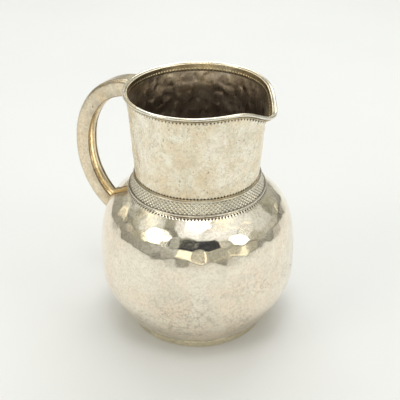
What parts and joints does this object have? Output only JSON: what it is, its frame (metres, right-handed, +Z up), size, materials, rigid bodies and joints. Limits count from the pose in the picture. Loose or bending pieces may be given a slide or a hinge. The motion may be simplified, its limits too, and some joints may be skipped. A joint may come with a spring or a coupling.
{
  "type": "water pitcher",
  "caption": "Round-bellied hammered silver water pitcher with a tapering neck, small pulled spout, woven collar band and hollow loop handle.",
  "frame": {"origin": "centre of the foot ring, on the plane the pitcher stands on", "axes": "+Z up along the axis of the bowl and neck, +X towards the spout, the handle along -X, +Y to the left of someone looking along +X"},
  "size_m": [0.1883, 0.1588, 0.2013],
  "materials": {
    "silver_hammered": "polished silver with planished hammer facets and light warm tarnish",
    "silver_satin": "satin silver, softly hammered, with fine pits",
    "silver_bright": "worn bright silver wire",
    "silver_chased": "chased woven pattern, dark tarnish left in the hollows",
    "silver_tarnished": "satin silver with a brassy olive tarnish",
    "silver_handle": "polished silver, warm where it reflects the table"
  },
  "bodies": {
    "root": {"bowl": "silver_hammered", "neck": "silver_satin", "rim_wire": "silver_bright", "rim_bead": "silver_bright", "collar_band": "silver_chased", "collar_upper_wire": "silver_bright", "collar_lower_wire": "silver_bright", "foot_ring": "silver_tarnished", "handle_channel": "silver_handle", "handle_inner_strip": "silver_handle"}
  },
  "joints": []
}
